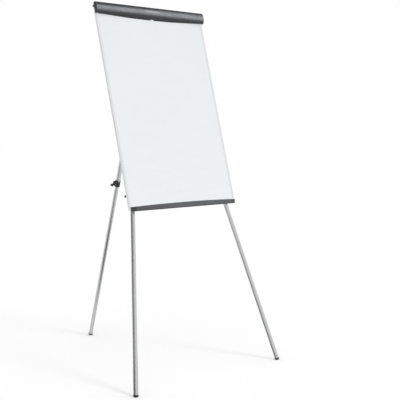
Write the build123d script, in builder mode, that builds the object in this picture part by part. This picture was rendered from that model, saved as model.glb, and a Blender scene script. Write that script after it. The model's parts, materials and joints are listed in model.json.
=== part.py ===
"""Tripod flipchart easel: a framed drywipe board with a hinged pad clamp and a pen tray on three legs.

World frame in mm: +X to the right of someone who faces the board, +Y behind it, +Z up, with the
origin on the floor in the middle of the footprint.  Most pieces are drawn in board coordinates:
x across, "up" along the leaning board from the line through the front feet, and "out" along the
board's normal, towards the writer, from the plane that holds the two front legs.
"""

from build123d import *
import os
from math import radians, sin, cos

os.makedirs("parts", exist_ok=True)

# ---------------------------------------------------------------- driving dimensions (mm, degrees)
# stance
board_tilt = 16.0  # the board and the front legs lean back
foot_spread = 472.0  # a front foot's distance from the middle
foot_reach = 550.0  # distance of the front feet, and of the rear foot, from the middle
foot_r = 15.0  # the ball that rounds the underside of a rubber foot
foot_lift = 12.0  # height of the ball's centre, which leaves a flat on the floor
leg_pivot_x = 123.0
leg_pivot_up = 1848.0
rear_pivot_out = -25.0

# board
board_w = 700.0
board_h = 1060.0
board_bottom = 862.0
board_top = board_bottom + board_h
face = 35.0  # front of the aluminium frame
board_back = 23.0  # back of the aluminium frame
rim = 11.0  # width of the frame, seen from the front
skin = 1.2  # wall of the frame profile
chamber = 5.2  # outer hollow of the frame profile, which takes the corner keys
web = 1.0
sheet_t = 0.4
panel_front = face - skin
panel_back = board_back + skin
panel_gap = 0.1  # between the panel's edges and the frame's web

# legs
tube_r = 12.5
tube_wall = 1.2
slide_r = 11.0
slide_wall = 1.0
slide_length = 1080.0
running = 0.05  # radial clearance of every running fit
plug_length = 50.0
front_overhang = 24.0  # upper tube above its pivot
rear_overhang = 44.0
front_collar_z = 923.0  # middle of the collar, down the leg from its pivot
rear_collar_z = 889.0
foot_flange_r = 13.4
foot_plug = 22.0  # length of the rubber plug in the lower tube
slide_end = -4.0  # bottom of the lower tube, up from the ball's centre

# collar and cam lever
collar_r = 15.0
collar_half = 19.0
collar_socket = 11.0  # depth of the upper tube's end in the collar
collar_edge = 1.2
collar_notch = (7.0, 9.0)
pin_r = 1.5
pin_x = 19.5  # lever pin from the tube's axis
cheek_x = 26.0
cheek_half = 9.0
cheek_h = 26.0
cheek_corner = 6.0
lever_w = 8.0
lever_slot = lever_w + 0.8
lever_gap = 0.3  # between the cam's nose and the lower tube
lever_reach = 44.0  # tip of the tail from the tube's axis
lever_drop = 25.0  # degrees below square to the tube
thumb_from = 15.0  # where the tail widens, from the pin, clear of the cheeks when lifted
thumb_half_w = 6.3
thumb_r = 5.5

# pivots at the head
stud_r = 3.0
plate_t = 2.0
pivot_face = panel_back - plate_t  # the head plate's rear face
saddle_base = 3.0
head_half_w = 150.0
head_low, head_high = 1815.0, 1893.0
ear_gap = 13.0
ear_t = 2.5

# pad clamp
clamp_top = board_top + 8.0
clamp_drop = 66.0  # height of the cover in the middle
clamp_arch = 8.0  # how much lower its lip hangs in the middle than at the ends
clamp_r = 48.0
clamp_bulge = face + 24.0
clamp_mid = clamp_top - 27.0
clamp_wall = 2.2
clamp_rear = face + 1.5
clamp_corner = 7.0
clamp_half = board_w / 2 + 0.3
clamp_notch = (11.0, 8.0)  # the thumb notch in the lip, half width and half height
lug_r = 5.6  # round end of the caps' pivot lugs
cap_t = 4.2
cap_proud = 0.6
badge_half = 45.0
badge_h = 9.0
rib_t = 2.5
clamp_axis_up = board_top - 8.0
clamp_axis_out = 29.0
clamp_screw_r = 2.5
grip_up = clamp_top - 52.0
grip_half = 335.0

# hook rail and pad hooks
rail_mid = board_top - 21.0
rail_w = 20.0
rail_half = 320.0
rail_t = 1.5
rail_depth = 7.0
rail_slot = 9.0
hook_x = 235.0
hook_pin_r = 3.0
hook_pin_l = 11.0

# pen tray
tray_half = 344.0
tray_hang = 6.3  # the floor's back edge below the board
tray_drop = 9.0  # the floor sags this many degrees from square to the board
tray_mid = 45.0  # depth in the middle
tray_end = 6.0  # depth at the ends
tray_low_lip = 22.0  # lip height at the ends
tray_high_lip = 28.0  # lip height in the middle
tray_wall = 2.4
tray_cap_w = 26.0
tray_corner = 5.0

# fasteners
screw_r = 1.7
screw_head_r = 3.6
screw_head_h = 2.2
screw_length = 8.0
recess_w = 1.0

# ---------------------------------------------------------------- frames
across = Vector(1, 0, 0)
up_dir = Vector(0, sin(radians(board_tilt)), cos(radians(board_tilt)))
out_dir = Vector(0, -cos(radians(board_tilt)), sin(radians(board_tilt)))


def at(x, up, out):
    """World point of a place given in board coordinates."""
    return Vector(x, -foot_reach, foot_lift) + up_dir * up + out_dir * out


def face_plane(out, x=0, up=0):
    """Plane parallel to the board: local x across, local y up the board, normal towards the writer."""
    return Plane(origin=at(x, up, out), x_dir=across, z_dir=out_dir)


def back_plane(out, x=0, up=0):
    """The same, with its normal away from the writer."""
    return Plane(origin=at(x, up, out), x_dir=across * -1, z_dir=out_dir * -1)


def cross_plane(x=0):
    """Plane square to X: local x is "up" and local y is "out"."""
    return Plane(origin=at(x, 0, 0), x_dir=up_dir, z_dir=across)


def save(piece, node):
    """Label a finished piece and write its STEP file."""
    piece.part.label = node
    export_step(piece.part, f"parts/{node}.step")


# ---------------------------------------------------------------- fasteners
def pan_screws(node, planes, length=screw_length, shank_r=screw_r, head_r=screw_head_r):
    """A group of pan-head screws, one on each plane; each plane's normal points out of the head."""
    with BuildPart() as screws:
        with BuildSketch(*planes):
            Circle(head_r)
        extrude(amount=screw_head_h)
        tops = [p.offset(screw_head_h) for p in planes]
        rims = screws.edges().filter_by(GeomType.CIRCLE).filter_by(
            lambda e: any((e.arc_center - top.origin).length < screw_head_h / 2 for top in tops))
        fillet(rims, radius=screw_head_h / 2)
        with BuildSketch(*tops):
            Rectangle(head_r * 1.2, recess_w)
            Rectangle(recess_w, head_r * 1.2)
        extrude(amount=-screw_head_h / 2, mode=Mode.SUBTRACT)
        with BuildSketch(*planes):
            Circle(shank_r)
        extrude(amount=-length)
    save(screws, node)


# ---------------------------------------------------------------- where the screws go
screw_inset = 9.0
rail_screw_x = (-310.0, -150.0, 0.0, 150.0, 310.0)
head_screw_at = [(x, up) for x in (-140.0, 140.0) for up in (head_low + screw_inset, head_high - screw_inset)]
saddle_z = 835.0  # middle of a leg saddle, down the leg from its pivot
saddle_screw_x = (-14.0, 5.0)
tray_screw_x = (-300.0, -100.0, 100.0, 300.0)
tray_screw_up = board_bottom + 8.0


# ---------------------------------------------------------------- legs as frames
class Leg:
    """A leg's own frame: origin at its pivot, z down the tube, x towards its clamp lever."""

    def __init__(self, name, pivot, foot, front, hinge_axis, overhang, collar_z):
        down = (foot - pivot).normalized()
        self.name = name
        self.front = front  # which way along local y the writer's side is
        self.hinge = Plane(origin=pivot, z_dir=hinge_axis)
        self.reach = (foot - pivot).length
        self.overhang = overhang
        self.collar_z = collar_z
        lever_dir = out_dir.cross(down) if front > 0 else down.cross(out_dir)
        self.plane = Plane(origin=pivot, x_dir=lever_dir, z_dir=down)

    def across(self, z, x=0.0):
        """Plane square to the tube, z down it and x to the lever's side."""
        return Plane(origin=self.plane.from_local_coords((x, 0, z)),
                     x_dir=self.plane.x_dir, z_dir=self.plane.z_dir)

    def along(self, z=0.0, x=0.0):
        """Plane through the tube's axis and the lever: local x to the lever, local y down the leg."""
        return Plane(origin=self.plane.from_local_coords((x, 0, z)),
                     x_dir=self.plane.x_dir, z_dir=self.plane.y_dir * -1)


left = Leg("left_leg", at(-leg_pivot_x, leg_pivot_up, 0), at(-foot_spread, 0, 0), -1, out_dir,
           front_overhang, front_collar_z)
right = Leg("right_leg", at(leg_pivot_x, leg_pivot_up, 0), at(foot_spread, 0, 0), 1, out_dir,
            front_overhang, front_collar_z)
rear = Leg("rear_leg", at(0, leg_pivot_up, rear_pivot_out), Vector(0, foot_reach, foot_lift), -1, across,
           rear_overhang, rear_collar_z)


# ---------------------------------------------------------------- board panel
def panel_holes():
    """Places of the screw holes through the panel, in board coordinates."""
    holes = [(x, rail_mid) for x in rail_screw_x] + list(head_screw_at)
    for leg, side in ((left, -1), (right, 1)):
        for plane in saddle_screw_planes(leg):
            local = face_plane(0).to_local_coords(plane.origin)
            holes.append((local.X, local.Y))
    return holes


def saddle_screw_planes(leg):
    """Planes of a saddle's two screw heads, on its base."""
    back = leg.plane.y_dir * -leg.front
    base = panel_back - saddle_base
    planes = []
    for x in saddle_screw_x:
        foot = leg.plane.from_local_coords((x, 0, saddle_z))
        planes.append(Plane(origin=foot + back * -base, x_dir=leg.plane.x_dir, z_dir=back))
    return planes


def make_panel():
    """The steel writing sheet, the core and the backing sheet, drilled for their screws."""
    layers = (
        ("writing_sheet", panel_front - sheet_t, panel_front),
        ("board_core", panel_back + sheet_t, panel_front - sheet_t),
        ("back_sheet", panel_back, panel_back + sheet_t),
    )
    inset = chamber + web + panel_gap
    mid = board_bottom + board_h / 2
    front_holes = [(x, rail_mid) for x in rail_screw_x]
    rear_holes = [h for h in panel_holes() if h not in front_holes]
    for node, low, high in layers:
        holes = {"writing_sheet": front_holes, "back_sheet": rear_holes}.get(node, front_holes + rear_holes)
        with BuildPart() as layer:
            with BuildSketch(face_plane(low)):
                with Locations((0, mid)):
                    Rectangle(board_w - 2 * inset, board_h - 2 * inset)
                with Locations(*holes):
                    Circle(screw_r, mode=Mode.SUBTRACT)
            extrude(amount=high - low)
        save(layer, node)


def make_frame():
    """Four mitred aluminium profiles: a hollow outer chamber with a lip over each face of the panel."""
    depth = face - board_back
    mid = board_bottom + board_h / 2
    sides = (
        ("frame_bottom", at(0, board_bottom, board_back), across, up_dir, board_w),
        ("frame_top", at(0, board_top, board_back), across * -1, up_dir * -1, board_w),
        ("frame_left", at(-board_w / 2, mid, board_back), up_dir * -1, across, board_h),
        ("frame_right", at(board_w / 2, mid, board_back), up_dir, across * -1, board_h),
    )
    for node, origin, along, inward, length in sides:
        with BuildPart() as member:
            with BuildSketch(Plane(origin=origin, x_dir=inward, z_dir=along)):
                with Locations((rim / 2, depth / 2)):
                    Rectangle(rim, depth)
                with Locations((skin + (chamber - skin) / 2, depth / 2)):
                    Rectangle(chamber - skin, depth - 2 * skin, mode=Mode.SUBTRACT)
                with Locations((rim / 2 + (chamber + web) / 2, depth / 2)):
                    Rectangle(rim - chamber - web, depth - 2 * skin, mode=Mode.SUBTRACT)
            extrude(amount=length / 2, both=True)
            outer = member.faces().sort_by(Axis(origin, inward))[0]
            fillet(outer.edges().filter_by(Axis(origin, along)), radius=skin)
            for end in (1, -1):
                mitre = Plane(origin=origin + along * (end * length / 2), z_dir=along * end + inward)
                split(bisect_by=mitre, keep=Keep.BOTTOM)
            if node == "frame_bottom":
                with BuildSketch(face_plane(face)):
                    with Locations(*[(x, tray_screw_up) for x in tray_screw_x]):
                        Circle(screw_r)
                extrude(amount=-skin, mode=Mode.SUBTRACT)
            if node in ("frame_left", "frame_right"):
                with BuildSketch(Plane(origin=at(origin.X, 0, 0), x_dir=up_dir, z_dir=across)):
                    with Locations((clamp_axis_up, clamp_axis_out)):
                        Circle(clamp_screw_r)
                extrude(amount=chamber, both=True, mode=Mode.SUBTRACT)
        save(member, node)


def make_corner_keys():
    """Four L-shaped keys in the frame's outer chamber; the clamp's pivot screws pass the upper two."""
    slack = 0.1
    arm = 30.0
    width = chamber - skin - 2 * slack
    inset = skin + slack
    with BuildPart() as keys:
        with BuildSketch(face_plane(board_back + inset)):
            for side in (-1, 1):
                for edge, inward in ((board_bottom, 1), (board_top, -1)):
                    corner_x, corner_up = side * (board_w / 2 - inset), edge + inward * inset
                    with Locations((corner_x - side * arm / 2, corner_up + inward * width / 2)):
                        Rectangle(arm, width)
                    with Locations((corner_x - side * width / 2, corner_up + inward * arm / 2)):
                        Rectangle(width, arm)
        extrude(amount=face - board_back - 2 * inset)
        with BuildSketch(cross_plane()):
            with Locations((clamp_axis_up, clamp_axis_out)):
                Circle(clamp_screw_r)
        extrude(amount=board_w, both=True, mode=Mode.SUBTRACT)
    save(keys, "corner_keys")


# ---------------------------------------------------------------- hook rail and pad hooks
def make_hook_rail():
    """A C-shaped aluminium rail across the top of the board, screwed through its floor."""
    depth = rail_depth
    with BuildPart() as rail:
        with BuildSketch(cross_plane()):
            with Locations((rail_mid, panel_front + depth / 2)):
                Rectangle(rail_w, depth)
                Rectangle(rail_w - 2 * rail_t, depth - 2 * rail_t, mode=Mode.SUBTRACT)
            with Locations((rail_mid, panel_front + depth)):
                Rectangle(rail_slot, depth, mode=Mode.SUBTRACT)
        extrude(amount=rail_half, both=True)
        with BuildSketch(face_plane(panel_front)):
            with Locations(*[(x, rail_mid) for x in rail_screw_x]):
                Circle(screw_r)
        extrude(amount=rail_t, mode=Mode.SUBTRACT)
    save(rail, "hook_rail")
    planes = [face_plane(panel_front + rail_t, x, rail_mid) for x in rail_screw_x]
    pan_screws("rail_screws", planes)


def make_pad_hooks():
    """Two hooks that slide in the rail, each with a round pin for a punched pad."""
    play = 0.3
    floor = panel_front + rail_t + play
    lips = panel_front + rail_depth
    under_lips = lips - rail_t - play
    shoulder = lips + play
    shoe_w, neck_w, flange_w, flange_h, flange_t = 22.0, 16.0, 20.0, 15.0, 2.0
    for node, side in (("pad_hook_left", -1), ("pad_hook_right", 1)):
        with BuildPart() as hook:
            with BuildSketch(face_plane(floor)):
                with Locations((side * hook_x, rail_mid)):
                    RectangleRounded(shoe_w, rail_w - 2 * rail_t - 2 * play, 2)
            extrude(amount=under_lips - floor)
            with BuildSketch(face_plane(under_lips)):
                with Locations((side * hook_x, rail_mid)):
                    Rectangle(neck_w, rail_slot - 2 * play)
            extrude(amount=shoulder - under_lips)
            with BuildSketch(face_plane(shoulder)):
                with Locations((side * hook_x, rail_mid)):
                    RectangleRounded(flange_w, flange_h, 3)
            extrude(amount=flange_t)
            with BuildSketch(face_plane(shoulder + flange_t)):
                with Locations((side * hook_x, rail_mid)):
                    Circle(hook_pin_r)
            extrude(amount=hook_pin_l)
            chamfer(hook.edges().filter_by(GeomType.CIRCLE).sort_by(Axis(at(0, 0, 0), out_dir))[-1], 0.8)
        save(hook, node)


# ---------------------------------------------------------------- pad clamp
def cover_outline(radius, low, high, rear):
    """A sketch region of the cover's section: a circle about its centre line, cut to a band."""
    with Locations((clamp_mid, clamp_bulge - clamp_r)):
        Circle(radius)
    with Locations(((low + high) / 2, rear)):
        Rectangle(high - low, 2 * clamp_r, align=(Align.CENTER, Align.MIN), mode=Mode.INTERSECT)


def make_clamp_cover():
    """The curved cover with its arched lip, a thumb notch and a rib that carries the grip."""
    low = clamp_top - clamp_drop
    top_edge = Axis(at(0, 0, 0), up_dir + out_dir * 0.6)
    rib_low, rib_high = face + 3.5, face + 15.5
    with BuildPart() as cover:
        with BuildSketch(cross_plane()) as section:
            cover_outline(clamp_r, low, clamp_top, clamp_rear)
            fillet(section.vertices().sort_by(top_edge)[-1], radius=clamp_corner)
        extrude(amount=clamp_half, both=True)
        with BuildSketch(cross_plane()) as hollow:
            cover_outline(clamp_r - clamp_wall, low - 10, clamp_top - clamp_wall, clamp_rear - 10)
            fillet(hollow.vertices().sort_by(top_edge)[-1], radius=clamp_corner - clamp_wall)
        extrude(amount=clamp_half, both=True, mode=Mode.SUBTRACT)
        with BuildSketch(cross_plane()):
            with Locations((grip_up, (rib_low + rib_high) / 2)):
                Rectangle(rib_t, rib_high - rib_low)
        extrude(amount=grip_half, both=True)
        with BuildSketch(face_plane(face - 5)):
            with BuildLine():
                edge = ThreePointArc((-clamp_half, low + clamp_arch), (0, low), (clamp_half, low + clamp_arch))
                Polyline(edge @ 1, (clamp_half, low - 20), (-clamp_half, low - 20), edge @ 0)
            make_face()
        extrude(amount=40, mode=Mode.SUBTRACT)
        with BuildSketch(face_plane(face - 5)):
            with Locations((0, low)):
                Ellipse(*clamp_notch)
        extrude(amount=12, mode=Mode.SUBTRACT)
    save(cover, "clamp_cover")


def make_clamp_caps():
    """Moulded end caps: a plate beside the board that pivots on a screw, and a spigot in the cover."""
    low = clamp_top - clamp_drop + clamp_arch
    top = clamp_top + cap_proud
    for node, side in (("clamp_cap_left", -1), ("clamp_cap_right", 1)):
        with BuildPart() as cap:
            with BuildSketch(cross_plane(side * clamp_half)) as plate:
                with Locations((clamp_mid, clamp_bulge - clamp_r)):
                    Circle(clamp_r + cap_proud)
                with BuildLine():
                    Polyline((low - 1, clamp_rear), (low - 1, clamp_bulge + 5), (top, clamp_bulge + 5),
                             (top, clamp_rear), close=True)
                make_face(mode=Mode.INTERSECT)
                fillet(plate.vertices(), radius=1.6)
                with Locations((clamp_axis_up, clamp_axis_out)):
                    Circle(lug_r)
                with Locations((clamp_axis_up, (clamp_axis_out + clamp_rear) / 2 + 1)):
                    Rectangle(2 * lug_r, clamp_rear - clamp_axis_out + 2)
            extrude(amount=side * cap_t)
            fillet(cap.faces().sort_by(Axis.X)[-1 if side > 0 else 0].edges(), radius=1.2)
            with BuildSketch(cross_plane(side * clamp_half)):
                with Locations((clamp_mid, clamp_bulge - clamp_r)):
                    Circle(clamp_r - clamp_wall - 0.1)
                with Locations((clamp_mid, clamp_bulge - 7)):
                    Rectangle(34, 9, mode=Mode.INTERSECT)
            extrude(amount=-side * 10)
            with BuildSketch(cross_plane(side * clamp_half)):
                with Locations((clamp_axis_up, clamp_axis_out)):
                    Circle(clamp_screw_r + running)
            extrude(amount=side * cap_t, mode=Mode.SUBTRACT)
            with BuildSketch(cross_plane(side * (clamp_half + cap_t - screw_head_h - 0.2))):
                with Locations((clamp_axis_up, clamp_axis_out)):
                    Circle(screw_head_r + 0.9)
            extrude(amount=side * cap_t, mode=Mode.SUBTRACT)
        save(cap, node)


def make_clamp_trim():
    """The rubber grip on the cover's rib, the blank badge on its face and the two pivot screws."""
    rib_end = face + 3.5
    grip_w, grip_h, grip_gap = 7.5, 6.4, 0.4
    with BuildPart() as grip:
        with BuildSketch(cross_plane()):
            with Locations((grip_up, panel_front + grip_gap + grip_h / 2)):
                RectangleRounded(grip_w, grip_h, 1.5)
            with Locations((grip_up, rib_end + grip_h)):
                Rectangle(rib_t, 2 * grip_h, mode=Mode.SUBTRACT)
        extrude(amount=grip_half - 2, both=True)
    save(grip, "clamp_grip")

    with BuildPart() as badge:
        with BuildSketch(cross_plane()):
            with Locations((clamp_mid, clamp_bulge - clamp_r)):
                Circle(clamp_r + 0.4)
                Circle(clamp_r, mode=Mode.SUBTRACT)
            with Locations((clamp_mid + 1, clamp_bulge)):
                Rectangle(badge_h, 6, mode=Mode.INTERSECT)
        extrude(amount=badge_half, both=True)
    save(badge, "clamp_badge")

    planes = []
    for side in (-1, 1):
        seat = Plane(origin=at(side * (clamp_half + cap_t - screw_head_h - 0.1), clamp_axis_up, clamp_axis_out),
                     x_dir=up_dir, z_dir=across * side)
        planes.append(seat)
    inner = board_w / 2 - chamber
    pan_screws("clamp_pivot_screws", planes, shank_r=clamp_screw_r, head_r=screw_head_r + 0.4,
               length=clamp_half + cap_t - screw_head_h - 0.1 - inner)


# ---------------------------------------------------------------- pen tray
tray_up = up_dir * cos(radians(tray_drop)) + out_dir * sin(radians(tray_drop))


def tray_plane(height=0.0):
    """Plane of the tray's floor: local x across, local y towards the board."""
    return Plane(origin=at(0, board_bottom - tray_hang, face) + tray_up * height, x_dir=across, z_dir=tray_up)


def tray_block(floor, inset, rear, height):
    """A block with the tray's plan, from a floor height up: straight back, bowed front."""
    half = tray_half
    with BuildPart() as block:
        with BuildSketch(tray_plane(floor)):
            with BuildLine():
                bow = ThreePointArc((-half, inset - tray_end), (0, inset - tray_mid), (half, inset - tray_end))
                Polyline(bow @ 1, (half, 20), (-half, 20), bow @ 0)
            make_face()
        extrude(amount=height)
        split(bisect_by=face_plane(rear), keep=Keep.TOP)
    return block.part


def lip_cutter():
    """Everything above the tray's lip, which is highest in the middle."""
    half = tray_half + 1
    with BuildPart() as cutter:
        with BuildSketch(Plane(origin=tray_plane().origin, x_dir=across, z_dir=tray_plane().y_dir * -1)):
            with BuildLine():
                lip = ThreePointArc((-half, tray_low_lip), (0, tray_high_lip), (half, tray_low_lip))
                Polyline(lip @ 1, (half, 60), (-half, 60), lip @ 0)
            make_face()
        extrude(amount=100, both=True)
    return cutter.part


def make_pen_tray():
    """The tray, screwed through its back wall to the frame, and its two end caps."""
    inner_half = tray_half - tray_cap_w
    blank = tray_block(0, 0, face, tray_high_lip + 5)
    hollow = tray_block(tray_wall, tray_wall, face + tray_wall, 60)
    above_lip = lip_cutter()
    lowest = Axis(tray_plane().origin, tray_up)
    with BuildPart() as tray:
        add(blank)
        for side in (-1, 1):
            split(bisect_by=Plane(origin=(side * inner_half, 0, 0), z_dir=(side, 0, 0)), keep=Keep.BOTTOM)
        fillet(tray.edges().filter_by(GeomType.CIRCLE).sort_by(lowest)[0], radius=tray_corner)
        add(hollow, mode=Mode.SUBTRACT)
        add(above_lip, mode=Mode.SUBTRACT)
        with BuildSketch(face_plane(face)):
            with Locations(*[(x, tray_screw_up) for x in tray_screw_x]):
                Circle(screw_r)
        extrude(amount=tray_wall, mode=Mode.SUBTRACT)
    save(tray, "pen_tray")
    pan_screws("tray_screws", [face_plane(face + tray_wall, x, tray_screw_up) for x in tray_screw_x],
               length=tray_wall + skin)

    for node, side in (("tray_cap_left", -1), ("tray_cap_right", 1)):
        with BuildPart() as cap:
            add(blank)
            split(bisect_by=Plane(origin=(side * inner_half, 0, 0), z_dir=(side, 0, 0)), keep=Keep.TOP)
            fillet(cap.edges().filter_by(GeomType.CIRCLE).sort_by(lowest)[0], radius=tray_corner)
            add(above_lip, mode=Mode.SUBTRACT)
            fillet(cap.faces().sort_by(Axis.X)[-1 if side > 0 else 0].edges(), radius=1.2)
        save(cap, node)


# ---------------------------------------------------------------- head: where the three legs hang
def make_head():
    """The steel plate on the board's back, its two studs, and their spacers, washers and dome nuts."""
    with BuildPart() as plate:
        with BuildSketch(face_plane(pivot_face)):
            with Locations((0, (head_low + head_high) / 2)):
                RectangleRounded(2 * head_half_w, head_high - head_low, 8)
            with Locations(*head_screw_at):
                Circle(screw_r, mode=Mode.SUBTRACT)
        extrude(amount=plate_t)
    save(plate, "head_plate")
    pan_screws("head_screws", [back_plane(pivot_face, x, up) for x, up in head_screw_at])

    weld, weld_r = 1.5, 7.0
    spacer_r = 10.0
    washer_t, washer_r = 1.5, 9.0
    nut_h, nut_r = 5.0, 5.8
    dome_h, dome_r = 3.5, 4.8
    near, far = tube_r + 0.4, -tube_r - 0.4
    stud_end = far - washer_t - nut_h
    seats = [(-leg_pivot_x, leg_pivot_up), (leg_pivot_x, leg_pivot_up)]
    with BuildPart() as studs:
        with BuildSketch(face_plane(pivot_face - weld)):
            with Locations(*seats):
                Circle(weld_r)
        extrude(amount=weld)
        with BuildSketch(face_plane(stud_end)):
            with Locations(*seats):
                Circle(stud_r)
        extrude(amount=pivot_face - stud_end)
    save(studs, "pivot_studs")
    with BuildPart() as spacers:
        with BuildSketch(face_plane(near)):
            with Locations(*seats):
                Circle(spacer_r)
                Circle(stud_r, mode=Mode.SUBTRACT)
        extrude(amount=pivot_face - weld - near)
    save(spacers, "pivot_spacers")
    with BuildPart() as washers:
        with BuildSketch(face_plane(far - washer_t)):
            with Locations(*seats):
                Circle(washer_r)
                Circle(stud_r, mode=Mode.SUBTRACT)
        extrude(amount=washer_t)
    save(washers, "pivot_washers")
    with BuildPart() as nuts:
        with BuildSketch(face_plane(far - washer_t)):
            with Locations(*seats):
                RegularPolygon(nut_r, 6)
        extrude(amount=-nut_h)
        with BuildSketch(face_plane(stud_end)):
            with Locations(*seats):
                Circle(dome_r)
        extrude(amount=-dome_h)
        domes = nuts.edges().filter_by(GeomType.CIRCLE).group_by(Axis(at(0, 0, 0), out_dir))[0]
        fillet(domes, radius=3)
        with BuildSketch(face_plane(far - washer_t)):
            with Locations(*seats):
                Circle(stud_r)
        extrude(amount=-nut_h, mode=Mode.SUBTRACT)
    save(nuts, "pivot_dome_nuts")


def make_rear_hinge():
    """A U bracket behind the head plate, the rear leg's hinge pin and clip, and the stop pad."""
    hinge = (leg_pivot_up, rear_pivot_out)
    low, high = leg_pivot_up - 26, leg_pivot_up + 42
    ear_half, ear_end = 11.0, rear_pivot_out - 5.0
    outer = ear_gap + ear_t
    base = pivot_face - ear_t
    with BuildPart() as bracket:
        with BuildSketch(cross_plane()):
            with BuildLine():
                Polyline((low, pivot_face), (high, pivot_face), (high, 10), (leg_pivot_up + ear_half, ear_end),
                         (leg_pivot_up - ear_half, ear_end), (low, 0), close=True)
            make_face()
            with Locations(hinge):
                Circle(12)
        extrude(amount=outer, both=True)
        with BuildSketch(cross_plane()):
            with Locations((leg_pivot_up, base - 40)):
                Rectangle(200, 80)
        extrude(amount=ear_gap, both=True, mode=Mode.SUBTRACT)
        with BuildSketch(cross_plane()):
            with Locations(hinge):
                Circle(stud_r)
        extrude(amount=outer, both=True, mode=Mode.SUBTRACT)
    save(bracket, "rear_hinge_bracket")

    groove_at, groove_w, pin_end = outer + 0.2, 1.1, outer + 3.0
    with BuildPart() as pin:
        with BuildSketch(cross_plane(-outer)):
            with Locations(hinge):
                Circle(stud_r)
        extrude(amount=outer + pin_end)
        with BuildSketch(cross_plane(-outer)):
            with Locations(hinge):
                Circle(5)
        extrude(amount=-2)
        with BuildSketch(cross_plane(groove_at)):
            with Locations(hinge):
                Circle(stud_r)
                Circle(stud_r - 0.6, mode=Mode.SUBTRACT)
        extrude(amount=groove_w, mode=Mode.SUBTRACT)
    save(pin, "rear_hinge_pin")
    with BuildPart() as clip:
        with BuildSketch(cross_plane(groove_at + 0.05)):
            with Locations(hinge):
                Circle(5.2)
                Circle(stud_r - 0.6, mode=Mode.SUBTRACT)
            with Locations((hinge[0] + 5, hinge[1])):
                Rectangle(10, 3.6, mode=Mode.SUBTRACT)
        extrude(amount=groove_w - 0.1)
    save(clip, "rear_pin_clip")

    lean = rear.plane.z_dir.get_angle(up_dir * -1)
    cap_top = rear_overhang + 2
    touch = rear_pivot_out + cap_top * sin(radians(lean)) + tube_r * cos(radians(lean))
    with BuildPart() as stop:
        with BuildSketch(cross_plane()):
            with Locations((leg_pivot_up + 31, (base + touch + 0.3) / 2)):
                Rectangle(20, base - touch - 0.3)
        extrude(amount=ear_gap - 1.5, both=True)
        fillet(stop.faces().sort_by(Axis(at(0, 0, 0), out_dir))[0].edges(), radius=1.5)
    save(stop, "rear_leg_stop")


def make_saddles():
    """A moulded saddle behind each lower corner, which stops the splayed leg and lets it fold inwards."""
    play = 0.3
    wall = 4.5
    half = 15.0
    base_w, hook_w = 40.0, 18.0
    for node, leg in (("leg_saddle_left", left), ("leg_saddle_right", right)):
        back = -leg.front  # local y away from the board
        board_side = -back * panel_back
        with BuildPart() as saddle:
            with BuildSketch(leg.across(saddle_z - half)):
                with Locations((-2, board_side + back * saddle_base / 2)):
                    Rectangle(base_w, saddle_base)
                inner = tube_r + play
                with Locations((inner + wall / 2, (board_side + back * (inner + wall)) / 2)):
                    Rectangle(wall, abs(board_side) + inner + wall)
                with Locations((inner + wall - hook_w / 2, back * (inner + wall / 2))):
                    Rectangle(hook_w, wall)
            extrude(amount=2 * half)
            edges = saddle.edges().filter_by(Axis(leg.plane.origin, leg.plane.z_dir))
            fillet(edges.sort_by(Axis(leg.plane.origin, leg.plane.y_dir * back))[-1], radius=2)
            with BuildSketch(*saddle_screw_planes(leg)):
                Circle(screw_r)
            extrude(amount=-saddle_base, mode=Mode.SUBTRACT)
        save(saddle, node)
    pan_screws("saddle_screws", saddle_screw_planes(left) + saddle_screw_planes(right))


# ---------------------------------------------------------------- legs
def make_tubes(leg):
    """The upper tube with its top plug, and the lower tube with its glide bush."""
    with BuildPart() as upper:
        with BuildSketch(leg.across(-leg.overhang)):
            Circle(tube_r)
            Circle(tube_r - tube_wall, mode=Mode.SUBTRACT)
        extrude(amount=leg.overhang + leg.collar_z - collar_half + collar_socket)
        with BuildSketch(leg.hinge):
            Circle(stud_r + running)
        extrude(amount=tube_r + 1, both=True, mode=Mode.SUBTRACT)
    save(upper, f"{leg.name}_upper_tube")

    with BuildPart() as plug:
        with BuildSketch(leg.across(-leg.overhang - 2)):
            Circle(tube_r)
        extrude(amount=2)
        fillet(plug.edges().sort_by(Axis(leg.plane.origin, leg.plane.z_dir))[0], radius=1.2)
        with BuildSketch(leg.across(-leg.overhang)):
            Circle(tube_r - tube_wall)
        extrude(amount=plug_length)
        with BuildSketch(leg.hinge):
            Circle(stud_r + running)
        extrude(amount=tube_r + 1, both=True, mode=Mode.SUBTRACT)
    save(plug, f"{leg.name}_tube_plug")

    bottom = leg.reach - slide_end
    with BuildPart() as lower:
        with BuildSketch(leg.across(bottom - slide_length)):
            Circle(slide_r)
            Circle(slide_r - slide_wall, mode=Mode.SUBTRACT)
        extrude(amount=slide_length)
    save(lower, f"{leg.name}_lower_tube")

    flange, spigot, bush_wall = 12.0, 18.0, 2.0
    with BuildPart() as bush:
        with BuildSketch(leg.across(bottom - slide_length - flange)):
            Circle(tube_r - tube_wall - running)
        extrude(amount=flange)
        with BuildSketch(leg.across(bottom - slide_length)):
            Circle(slide_r - slide_wall)
        extrude(amount=spigot)
        with BuildSketch(leg.across(bottom - slide_length - flange)):
            Circle(slide_r - slide_wall - bush_wall)
        extrude(amount=flange + spigot, mode=Mode.SUBTRACT)
    save(bush, f"{leg.name}_glide_bush")


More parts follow.
